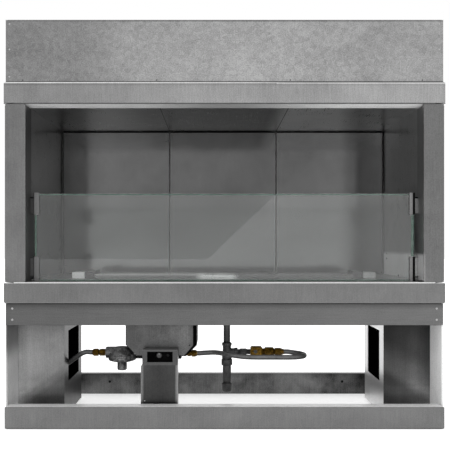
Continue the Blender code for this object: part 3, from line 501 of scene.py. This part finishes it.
ASSIGN = {
    "bottom_band": ["base_front_rail"],
    "ledge": ["ledge_trim"],
    "header": ["header_trim"],
    "post": ["front_post_left", "front_post_right"],
    "clip": ["glass_clip_lower_left", "glass_clip_lower_right", "glass_clip_upper_left",
             "glass_clip_upper_right"],
    "side_panel_left": ["base_side_panel_left"],
    "side_panel_right": ["base_side_panel_right"],
    "column_left": ["column_front_panel_left"],
    "column_right": ["column_front_panel_right"],
    "column_wall": ["column_inner_wall_left"],
    "column_wall_right": ["column_inner_wall_right"],
    "pedestal": ["control_pedestal"],
    "upper_rail": ["base_upper_front_rail"],
    "rear_rail": ["base_rear_rail", "base_upper_rear_rail"],
    "column_rear": ["column_rear_panel_left", "column_rear_panel_right"],
    "hood": ["hood_front_panel"],
    "casing": ["casing_side_left", "casing_side_right", "casing_back", "casing_top"],
    "liner": ["back_liner_left", "back_liner_center", "back_liner_right"],
    "liner_left": ["side_liner_left"],
    "liner_right": ["side_liner_right"],
    "ceiling": ["ceiling_panel"],
    "floor": ["firebox_floor"],
    "pan": ["burner_pan"],
    "tube": ["burner_tube"],
    "end_stop_left": ["burner_end_stop_left"],
    "end_stop_right": ["burner_end_stop_right"],
    "housing": ["valve_housing_cover"],
    "housing_shell": ["valve_housing"],
    "aluminium_shaded": ["gas_valve"],
    "aluminium": ["regulator_body", "regulator_cap"],
    "iron": ["pipe_tee", "riser_pipe", "drip_leg_pipe", "drip_leg_cap", "branch_nipple", "shutoff_stem"],
    "brass": ["gas_inlet_union", "supply_flare_fitting", "valve_outlet_fitting", "burner_flare_nut",
              "shutoff_valve"],
    "black": ["control_plate"],
    "knob": ["gas_knob", "igniter_barrel", "igniter_button"],
}


def dress(name, material):
    """Give a CAD node a new material."""
    target = NODES[name]
    if not target.material_slots:
        target.data.materials.append(material)
    for entry in target.material_slots:
        entry.material = material


for look, names in ASSIGN.items():
    for name in names:
        dress(name, LOOKS[look])


def soften(names, width, segments=2):
    """Round the sharp edges of CAD nodes a little."""
    for name in names:
        rounding = NODES[name].modifiers.new("rounding", "BEVEL")
        rounding.width = width
        rounding.segments = segments
        rounding.limit_method = "ANGLE"
        rounding.angle_limit = ROUNDING_ANGLE
        rounding.harden_normals = False


soften(ASSIGN["clip"], 0.0005)
soften(["gas_valve"], 0.0015, 3)
soften(["shutoff_valve"], 0.0009)
soften(["control_pedestal", "control_plate", "valve_housing", "valve_housing_cover"], 0.0004)
soften(["burner_end_stop_left", "burner_end_stop_right"], 0.0004)
soften(["column_front_panel_left", "column_front_panel_right"], 0.0004)


# ---------------------------------------------------------------- pieces

def piece(name, mesh, material, body=ROOT, replaces=(), smooth=True):
    """Link a finished mesh as a piece that rides on a body."""
    made = bpy.data.objects.new(name, mesh)
    bpy.context.scene.collection.objects.link(made)
    if material is not None:
        mesh.materials.append(material)
    if smooth:
        mesh.shade_smooth()
        mesh.set_sharp_from_angle(angle=SMOOTH_ANGLE)
    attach(made, body)
    if replaces:
        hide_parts(*replaces)


def mesh_from(name, source):
    """Turn an edited mesh into mesh data, with its faces outward."""
    mesh = bpy.data.meshes.new(name)
    bmesh.ops.recalc_face_normals(source, faces=source.faces)
    source.to_mesh(mesh)
    source.free()
    return mesh


def rounded_box(source, centre, size, width, segments):
    """Add a box with rounded edges."""
    made = bmesh.ops.create_cube(source, size=1)["verts"]
    bmesh.ops.scale(source, vec=size, verts=made)
    bmesh.ops.translate(source, vec=centre, verts=made)
    edges = {edge for vert in made for edge in vert.link_edges}
    bmesh.ops.bevel(source, geom=list(edges), offset=width, segments=segments, affect="EDGES")


FLUTES, FLUTE_DEPTH = 16, 0.025
HEXAGON_CORNER = 1.154


def ring(size, corner, steps):
    """Radii of a section: round, fluted, or a hexagon whose corners are cut off at a radius."""
    angles = [2 * math.pi * index / steps for index in range(steps)]
    if corner is None:
        radii = [size] * steps
    elif corner == "flutes":
        radii = [size * (1 - FLUTE_DEPTH + FLUTE_DEPTH * math.cos(FLUTES * angle)) for angle in angles]
    else:
        radii = [min(size / math.cos(angle % (math.pi / 3) - math.pi / 6), corner) for angle in angles]
    return [(radius * math.cos(angle), radius * math.sin(angle)) for radius, angle in zip(radii, angles)]


def spin(source, origin, direction, sections, steps=48):
    """Add a closed solid lofted through sections of distance, size and corner radius."""
    turn = Vector(direction).to_track_quat("Z", "Y")
    rings = []
    for distance, size, corner in sections:
        rings.append([source.verts.new(Vector(origin) + turn @ Vector((x, y, distance)))
                      for x, y in ring(size, corner, steps)])
    source.faces.new(list(reversed(rings[0])))
    source.faces.new(rings[-1])
    for lower, upper in zip(rings, rings[1:]):
        for index in range(steps):
            after = (index + 1) % steps
            source.faces.new((lower[index], lower[after], upper[after], upper[index]))


def nut(start, end, size, chamfer=0.0012):
    """Sections of a hexagon nut with chamfered corners."""
    corner = size * HEXAGON_CORNER
    return [(start, size * 0.97, None), (start + 0.0002, size, size * 1.03), (start + chamfer, size, corner),
            (end - chamfer, size, corner), (end - 0.0002, size, size * 1.03), (end, size * 0.97, None)]


def thread(start, end, size, pitch=0.0012, depth=0.0004):
    """Sections of a screw thread, as fine ridges."""
    count = max(2, round((end - start) / pitch))
    step = (end - start) / count
    found = []
    for index in range(count):
        found += [(start + step * index, size - depth, None), (start + step * (index + 0.5), size, None)]
    return found + [(end, size - depth, None)]


def fitting(name, origin, direction, sections, look, replaced, body=ROOT, steps=48, extra=None):
    """A detailed round fitting that stands in for a CAD node."""
    source = bmesh.new()
    spin(source, origin, direction, sections, steps)
    if extra:
        extra(source)
    piece(name, mesh_from(name, source), LOOKS[look], body, [replaced])


def dome(source, spot, direction, radius, height):
    """Add a rounded rivet or screw head."""
    spin(source, spot, direction,
         [(-0.0004, radius * 0.9, None), (0, radius, None), (height * 0.45, radius * 0.9, None),
          (height * 0.8, radius * 0.62, None), (height, radius * 0.25, None)], 16)


def fasteners(name, spots, radius, height, look):
    """Rivets or screw heads that face the front, joined in one piece."""
    source = bmesh.new()
    for x, depth, z in spots:
        dome(source, (x, back(depth), z), FORWARD, radius, height)
    piece(name, mesh_from(name, source), LOOKS[look])


def build_fasteners():
    """Rivets and screws of the hood, the rails, the pedestal and the liners."""
    sides = (-1, 1)
    hood = [(side * 0.4965, 0.008, z) for side in sides for z in (0.934, 0.875, 0.812)]
    fasteners("hood_rivets", hood, 0.0021, 0.0009, "zinc")
    hood_edge = [(x, 0.008, 0.8045) for x in (-0.466, -0.157, 0.152, 0.457)]
    fasteners("hood_edge_rivets", hood_edge, 0.0018, 0.0008, "zinc_shaded")
    rail = [(side * 0.490, 0.008, z) for side in sides for z in (0.277, 0.251)]
    fasteners("upper_rail_screws", rail, 0.0027, 0.0012, "zinc")
    fasteners("rear_rail_screws", [(-0.3214, 0.395, 0.0352), (0.3392, 0.395, 0.0352)], 0.0036, 0.0012, "knob")
    fasteners("pedestal_rivet", [(-0.1875, 0.041, 0.0566)], 0.0017, 0.0007, "zinc")
    back_seams = [(side * 0.160, 0.406, z) for side in sides for z in (0.372, 0.72)]
    fasteners("liner_rivets", back_seams, 0.0018, 0.0007, "zinc_shaded")
    wall_x, wall_spots = 0.4595, [(0.239, 0.3435, 0.0030), (0.3695, 0.3860, 0.0022), (0.3695, 0.4000, 0.0022)]
    # the left wall screws take the lit zinc, the right ones its shaded copy as painted shade
    for name, side, look in (("wall_screw_left", -1, "zinc"), ("wall_screw_right", 1, "zinc_shaded")):
        source = bmesh.new()
        for depth, z, radius in wall_spots:
            dome(source, (side * wall_x, back(depth), z), (-side, 0, 0), radius, 0.0012)
        piece(name, mesh_from(name, source), LOOKS[look])


def build_knob():
    """Fluted gas knob with a silver cap and a white pointer, and the igniter button."""
    x, z, rear = -0.1532, 0.1640, 0.0494
    place_at = (x, back(rear), z)
    fitting("gas_knob_grip", place_at, FORWARD,
            [(0, 0.0073, None), (0.0006, 0.0075, None), (0.0030, 0.0074, "flutes"),
             (0.0082, 0.0072, "flutes"), (0.0092, 0.0067, "flutes"), (0.0096, 0.0060, None),
             (0.0096, 0.0058, None)], "knob", "gas_knob", "gas_knob", steps=96)
    source = bmesh.new()
    spin(source, (x, back(rear - 0.0094), z), FORWARD,
         [(0, 0.0056, None), (0.0004, 0.0057, None), (0.0007, 0.0054, None), (0.0007, 0.0046, None),
          (0.0005, 0.0044, None), (0.0005, 0.0010, None)])
    piece("gas_knob_cap", mesh_from("gas_knob_cap", source), LOOKS["cap"], "gas_knob")
    source = bmesh.new()
    rounded_box(source, (x, back(rear - 0.0100), z + 0.0033), (0.0007, 0.0004, 0.0034), 0.0001, 2)
    piece("gas_knob_pointer", mesh_from("gas_knob_pointer", source), LOOKS["mark"], "gas_knob")
    fitting("igniter_button_cap", (-0.133, back(0.058), 0.1637), FORWARD,
            [(0, 0.0038, None), (0.0128, 0.0038, None), (0.0140, 0.0035, None), (0.0145, 0.0030, None),
             (0.0145, 0.0022, None), (0.0142, 0.0014, None)],
            "dark_button", "igniter_button", "igniter_button")


def build_brass():
    """Brass fittings with chamfered nuts and fine threads."""
    fitting("gas_inlet_connector", (-0.5077, back(0.215), 0.104), X_AXIS,
            [(0.0118, 0.0042, None), (0.0002, 0.0045, None), (0, 0.0048, None), (0, 0.0072, None),
             *thread(0.0006, 0.0074, 0.0078, 0.0011), *nut(0.0078, 0.0185, 0.0098), (0.0186, 0.0068, None),
             (0.0215, 0.0066, None)], "brass", "gas_inlet_union")
    fitting("supply_flare_connector", (-0.3268, back(VALVE_DEPTH), SUPPLY_Z), X_AXIS,
            [(0, 0.0064, None), (0.0010, 0.0068, None), (0.0018, 0.0074, None), *nut(0.0025, 0.0150, 0.0085),
             *thread(0.0151, 0.0177, 0.0063, 0.0009), *nut(0.0178, 0.0315, 0.0082), (0.0316, 0.0060, None),
             (0.0333, 0.0060, None)], "brass", "supply_flare_fitting")
    fitting("valve_outlet_connector", (-0.0932, back(VALVE_DEPTH), OUTLET_Z), X_AXIS,
            [(0, 0.0062, None), (0.0038, 0.0062, None), *nut(0.0040, 0.0114, 0.0072, 0.0009),
             (0.0116, 0.0060, None), (0.0129, 0.0060, None), *nut(0.0130, 0.0235, 0.0080),
             (0.0250, 0.0068, None), (0.0268, 0.0066, None)], "brass", "valve_outlet_fitting")
    fitting("burner_hose_nut", (0.1280, back(TRAIN_DEPTH), TRAIN_Z), X_AXIS,
            [(0, 0.0075, None), (0.0008, 0.0082, None), *nut(0.0010, 0.0152, 0.0092), (0.0190, 0.0078, None),
             (0.0210, 0.0070, None), (0.0227, 0.0066, None)], "brass", "burner_flare_nut")

    def block(source):
        """Forged body, its boss and the stop beside the stem."""
        rounded_box(source, (0.0815, back(TRAIN_DEPTH), 0.15625), (0.0288, 0.0238, 0.0247), 0.0022, 3)
        spin(source, (0.0790, back(0.150), 0.1580), FORWARD,
             [(0, 0.0072, None), (0.0048, 0.0072, None), (0.0053, 0.0068, None), (0.0055, 0.0060, None)], 32)
        dome(source, (0.0895, back(0.1482), 0.1620), FORWARD, 0.0018, 0.0012)
        dome(source, (0.0790, back(0.1482), 0.1478), FORWARD, 0.0014, 0.0010)

    fitting("shutoff_valve_body", (0.0900, back(TRAIN_DEPTH), TRAIN_Z), X_AXIS,
            [(0, 0.0080, None), (0.0060, 0.0080, None), *thread(0.0065, 0.0125, 0.0086, 0.0011),
             *nut(0.0130, 0.0345, 0.0108, 0.0015), (0.0355, 0.0088, None), (0.0377, 0.0075, None)],
            "brass", "shutoff_valve", extra=block)


def build_iron():
    """Black iron pipe, tee, drip leg and cap, with rolled rims and cut threads."""
    x, y = 0.0078, back(TRAIN_DEPTH)

    def branch(source):
        spin(source, (x, y, TRAIN_Z), X_AXIS,
             [(0, 0.0088, None), (0.0186, 0.0088, None), (0.0192, 0.0094, None), (0.0200, 0.0100, None),
              (0.0258, 0.0100, None), (0.0268, 0.0094, None), (0.0270, 0.0086, None), (0.0270, 0.0070, None)])

    fitting("pipe_tee_casting", (x, y, TRAIN_Z - 0.0171), Z_AXIS,
            [(0, 0.0105, None), (0.0004, 0.0115, None), (0.0014, 0.0123, None), (0.0068, 0.0123, None),
             (0.0080, 0.0113, None), (0.0092, 0.0106, None), (0.0316, 0.0106, None), (0.0328, 0.0113, None),
             (0.0338, 0.0123, None), (0.0392, 0.0123, None), (0.0400, 0.0115, None), (0.0402, 0.0100, None)],
            "iron", "pipe_tee", extra=branch)
    fitting("riser_tube", (x, y, TRAIN_Z + 0.0234), Z_AXIS,
            [*thread(0, 0.0050, 0.00855, 0.0012), (0.0056, 0.0084, None), (0.0990, 0.0084, None),
             *thread(0.0995, 0.1083, 0.00855, 0.0012)], "iron", "riser_pipe")
    fitting("drip_leg_tube", (x, y, 0.0776), Z_AXIS,
            [*thread(0, 0.0050, 0.01065, 0.0013), (0.0056, 0.0105, None), (0.0430, 0.0105, None),
             (0.0438, 0.0122, None), (0.0446, 0.0132, None), (0.0456, 0.0138, None), (0.0574, 0.0138, None),
             (0.0590, 0.0130, None), (0.0600, 0.0118, None)], "iron", "drip_leg_pipe")
    fitting("drip_leg_plug", (x, y, 0.0547), Z_AXIS,
            [(0, 0.0066, None), (0.0003, 0.0090, None), (0.0012, 0.0110, None), (0.0034, 0.0124, None),
             (0.0158, 0.0126, None), (0.0168, 0.0132, None), (0.0212, 0.0134, None), (0.0222, 0.0126, None),
             (0.0226, 0.0110, None)], "iron", "drip_leg_cap")
    fitting("branch_nipple_pipe", (0.0351, y, TRAIN_Z), X_AXIS,
            [*thread(0, 0.0056, 0.0066, 0.0010), *nut(0.0060, 0.0222, 0.0076, 0.0010),
             *thread(0.0224, 0.0316, 0.0066, 0.0010)], "iron", "branch_nipple")


def build_regulator():
    """Two-part regulator body with clamp screws, a vent and ports, and its ribbed cap."""
    x, y = -0.2533, back(VALVE_DEPTH)

    def ports(source):
        spin(source, (-0.2932, y, SUPPLY_Z), X_AXIS, [*nut(0, 0.0300, 0.0132, 0.0018)])
        spin(source, (-0.2192, y, 0.1445), LEFTWARD, [*nut(0, 0.0200, 0.0062, 0.0009)])
        spin(source, (x + 0.0115, back(0.1200), 0.1562), (0.3, -1, 0.25),
             [(-0.006, 0.0036, None), (0.0036, 0.0036, None), (0.0044, 0.0030, None)], 24)
        for index in range(6):
            angle = math.radians(30 + 60 * index)
            spot = (x + 0.0296 * math.cos(angle), y + 0.0296 * math.sin(angle), 0.1470)
            spin(source, spot, Z_AXIS, [(-0.002, 0.0036, None), (0.0030, 0.0036, None),
                                        *nut(0.0031, 0.0058, 0.0029, 0.0005)], 24)

    fitting("regulator_casting", (x, y, 0.1334), Z_AXIS,
            [(0, 0.0150, None), (0.0012, 0.0230, None), (0.0038, 0.0315, None), (0.0056, 0.0332, None),
             (0.0064, 0.0338, None), (0.0078, 0.0338, None), (0.0081, 0.0325, None), (0.0086, 0.0325, None),
             (0.0089, 0.0338, None), (0.0124, 0.0338, None), (0.0134, 0.0330, None), (0.0166, 0.0328, None),
             (0.0176, 0.0305, None), (0.0226, 0.0288, None), (0.0270, 0.0248, None), (0.0306, 0.0214, None),
             (0.0330, 0.0196, None), (0.0356, 0.0182, None), (0.0366, 0.0170, None), (0.0369, 0.0158, None)],
            "aluminium", "regulator_body", steps=64, extra=ports)
    ribs = []
    for index in range(5):
        start = 0.0040 + 0.0028 * index
        ribs += [(start, 0.0119, None), (start + 0.0018, 0.0119, None), (start + 0.0021, 0.0114, None),
                 (start + 0.0026, 0.0114, None)]
    fitting("regulator_screw_cap", (x, y, 0.1125), Z_AXIS,
            [(0, 0.0078, None), (0.0004, 0.0098, None), (0.0016, 0.0112, None), *ribs, (0.0196, 0.0118, None),
             (0.0206, 0.0108, None)], "aluminium", "regulator_cap")


def build_burner_ports():
    """Two rows of gas ports along the top of the burner tube, drawn as thin black discs: painted shade for
    the holes.
    """
    source = bmesh.new()
    for index in range(29):
        for tilt in (-0.55, 0.55):
            direction = Vector((0, math.sin(tilt), math.cos(tilt)))
            spot = Vector((-0.28 + 0.02 * index, back(TRAIN_DEPTH), 0.300)) + direction * 0.01235
            spin(source, spot, direction,
                 [(0, 0.0011, None), (0.0002, 0.0011, None), (0.00025, 0.0006, None)], 10)
    piece("burner_ports", mesh_from("burner_ports", source), LOOKS["knob"])


def build_brackets():
    """Small rounded plates that hold the clips to the posts."""
    source = bmesh.new()
    inner, outer, front, rear, corner, steps = 0.4496, 0.4590, 0.0445, 0.0460, 0.0028, 5
    for side in (-1, 1):
        for z0, z1 in ((0.3511, 0.3932), (0.4985, 0.5335)):
            outline = [(inner, z0), (inner, z1)]
            for centre_z, start in ((z1 - corner, 90), (z0 + corner, 0)):
                for step in range(steps + 1):
                    angle = math.radians(start - 90 * step / steps)
                    outline.append((outer - corner + corner * math.cos(angle),
                                    centre_z + corner * math.sin(angle)))
            rings = [[source.verts.new((side * x, back(depth), z)) for x, z in outline]
                     for depth in (front, rear)]
            source.faces.new(rings[0])
            source.faces.new(list(reversed(rings[1])))
            for index in range(len(outline)):
                after = (index + 1) % len(outline)
                source.faces.new((rings[0][index], rings[1][index], rings[1][after], rings[0][after]))
            dome(source, (side * (inner + outer) / 2, back(front), (z0 + z1) / 2), FORWARD, 0.0014, 0.0006)
    piece("glass_clip_brackets", mesh_from("glass_clip_brackets", source), LOOKS["bracket"])


def build_glass():
    """The wind guard: a sheet of clear glass with softened green edges, and strips for their tint."""
    low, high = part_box("glass_guard")
    source = bmesh.new()
    rounded_box(source, (low + high) / 2, high - low, 0.0012, 2)
    for face in source.faces:
        face.material_index = 0 if abs(face.normal.y) > 0.99 else 1
    mesh = mesh_from("glass_guard_pane", source)
    piece("glass_guard_pane", mesh, None, "glass_guard", ["glass_guard"])
    mesh.materials.append(clear_glass("clear_glass"))
    mesh.materials.append(edge_glass("glass_edge"))
    source = bmesh.new()
    thickness = 0.0004
    # Limits in X and Z of the strips at the top, foot, left and right.
    strips = [(-0.4465, 0.4465, 0.5412, 0.5440), (-0.4465, 0.4465, 0.3392, 0.3420),
              (-0.4480, -0.4436, 0.3970, 0.4940), (0.4414, 0.4480, 0.3970, 0.4940)]
    for x0, x1, z0, z1 in strips:
        centre = ((x0 + x1) / 2, high.y - 2 * thickness, (z0 + z1) / 2)
        rounded_box(source, centre, (x1 - x0, thickness, z1 - z0), 0.0001, 1)
    piece("glass_edge_tint", mesh_from("glass_edge_tint", source), bpy.data.materials["glass_edge"],
          "glass_guard", smooth=False)


def smooth_route(route, spacing, straight):
    """Evenly spaced points along a smooth curve through the route's own points, with straight ends."""
    steps = 24
    points = [Vector(point) for point in route]
    padded = [2 * points[0] - points[1], *points, 2 * points[-1] - points[-2]]
    dense = []
    for index in range(len(points) - 1):
        before, first, last, after = padded[index:index + 4]
        for step in range(steps):
            share = step / steps
            dense.append(0.5 * (2 * first + (last - before) * share
                                + (2 * before - 5 * first + 4 * last - after) * share ** 2
                                + (3 * first - before - 3 * last + after) * share ** 3))
    dense.append(points[-1])
    travelled = [0.0]
    for first, last in zip(dense, dense[1:]):
        travelled.append(travelled[-1] + (last - first).length)
    total = travelled[-1]
    count = max(2, round(total / spacing))
    wanted = [0.0, *[straight + (total - 2 * straight) * index / count for index in range(count + 1)], total]
    found, index = [], 0
    for distance in wanted:
        while index < len(travelled) - 2 and travelled[index + 1] < distance:
            index += 1
        span = travelled[index + 1] - travelled[index]
        share = (distance - travelled[index]) / span if span else 0
        found.append(dense[index].lerp(dense[index + 1], share))
    return found


def hose(name, route, diameter, material, node_name):
    """A gas hose as one open spline."""
    points = smooth_route([(x, back(depth), z) for x, depth, z in route], spacing=0.006, straight=0.0045)
    line = bpy.data.curves.new(name, "CURVE")
    line.dimensions = "3D"
    line.bevel_depth = diameter / 2
    line.bevel_resolution = 4
    line.use_fill_caps = True
    spline = line.splines.new("POLY")
    spline.points.add(len(points) - 1)
    for point, spot in zip(spline.points, points):
        point.co = (*spot, 1)
    spline.use_smooth = True
    line.materials.append(material)
    made = bpy.data.objects.new(name, line)
    bpy.context.scene.collection.objects.link(made)
    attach(made, ROOT)
    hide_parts(node_name)


HOSE_DIAMETER = 0.012
VALVE_DEPTH, TRAIN_DEPTH = 0.140, 0.160
SUPPLY_Z, OUTLET_Z, TRAIN_Z = 0.1565, 0.154, 0.155
INLET_DEPTH, INLET_Z = 0.215, 0.104
SUPPLY_ROUTE = [
    (-0.3271, VALVE_DEPTH, SUPPLY_Z), (-0.3320, VALVE_DEPTH, SUPPLY_Z), (-0.3420, 0.1405, 0.1573),
    (-0.3520, 0.1430, 0.1540), (-0.3620, 0.1475, 0.1480), (-0.3745, 0.1535, 0.1392),
    (-0.3870, 0.1590, 0.1300), (-0.4060, 0.1685, 0.1185), (-0.4310, 0.1850, 0.1085),
    (-0.4560, 0.2040, 0.1042), (-0.4715, 0.2140, 0.1038), (-0.4810, INLET_DEPTH, INLET_Z),
    (-0.4858, INLET_DEPTH, INLET_Z)]


def burner_route():
    """Out of the valve, across in front of the tee, and round a level loop into the shut-off valve."""
    radius = 0.044
    loop_x, loop_depth = 0.1535, TRAIN_DEPTH - radius
    route = [(-0.0661, VALVE_DEPTH, OUTLET_Z), (-0.0610, VALVE_DEPTH, OUTLET_Z), (-0.0420, 0.1405, 0.1552),
             (-0.022, 0.134, 0.1567), (-0.004, 0.115, 0.1573), (0.0186, 0.092, 0.1563),
             (0.047, 0.0765, 0.1549), (0.0754, 0.0715, 0.1545), (0.112, 0.0713, 0.1545)]
    for degrees, height in zip(range(-90, 61, 30), (0.1543, 0.1540, 0.1536, 0.1533, 0.1532, 0.1536)):
        angle = math.radians(degrees)
        route.append((loop_x + radius * math.cos(angle), loop_depth + radius * math.sin(angle), height))
    return route + [(x, TRAIN_DEPTH, TRAIN_Z) for x in (0.1615, 0.1560, 0.1510)]


# ---------------------------------------------------------------- studio

FLOOR_Z = -0.0005


def reflection_card():
    """A large soft panel behind the viewer, whose slanted edge shows in the wind guard."""
    source = bmesh.new()
    card_y, corners = -3.2, [(-1.158, -0.70), (2.40, -0.70), (2.40, 2.684)]
    source.faces.new([source.verts.new((x, card_y, z)) for x, z in corners])
    mesh = mesh_from("reflection_card", source)
    material, tree, shader = new_material("card_light")
    glow = remap(tree, noise(tree, 1.5, 2), 0.3, 0.7, 1.38, 1.52)
    finish(tree, shader, grey(0.0), 0.0, 1.0, **{"Emission Color": (1, 1, 1, 1), "Emission Strength": glow})
    mesh.materials.append(material)
    card = bpy.data.objects.new("reflection_card", mesh)
    bpy.context.scene.collection.objects.link(card)
    card.visible_diffuse = False
    card.visible_shadow = False


def build_studio():
    """Pale floor, white surroundings, soft lights and the camera."""
    source = bmesh.new()
    bmesh.ops.create_grid(source, x_segments=1, y_segments=1, size=20)
    mesh = mesh_from("studio_floor", source)
    mesh.materials.append(pale_floor("studio_floor"))
    floor = bpy.data.objects.new("studio_floor", mesh)
    floor.location.z = FLOOR_Z
    bpy.context.scene.collection.objects.link(floor)

    world = bpy.data.worlds.new("studio")
    world.use_nodes = True
    surround = world.node_tree.nodes["Background"]
    surround.inputs["Color"].default_value = grey(1)
    surround.inputs["Strength"].default_value = 1.0
    bpy.context.scene.world = world
    bpy.context.scene.view_settings.view_transform = "Standard"
    reflection_card()

    camera_data = bpy.data.cameras.new("camera")
    camera_data.lens = 57.8
    camera_data.sensor_width = 36
    camera_data.shift_x, camera_data.shift_y = 0.0204, 0.0444
    camera = bpy.data.objects.new("camera", camera_data)
    camera.location = (-0.020, back(-1.66), 0.4236)
    camera.rotation_euler = (math.pi / 2, 0, 0)
    bpy.context.scene.collection.objects.link(camera)
    bpy.context.scene.camera = camera


build_studio()
hose("supply_hose_tube", SUPPLY_ROUTE, HOSE_DIAMETER, LOOKS["hose"], "supply_hose")
hose("burner_hose_tube", burner_route(), HOSE_DIAMETER, LOOKS["hose"], "burner_hose")
build_glass()
build_brackets()
build_brass()
build_iron()
build_regulator()
build_knob()
build_burner_ports()
build_fasteners()
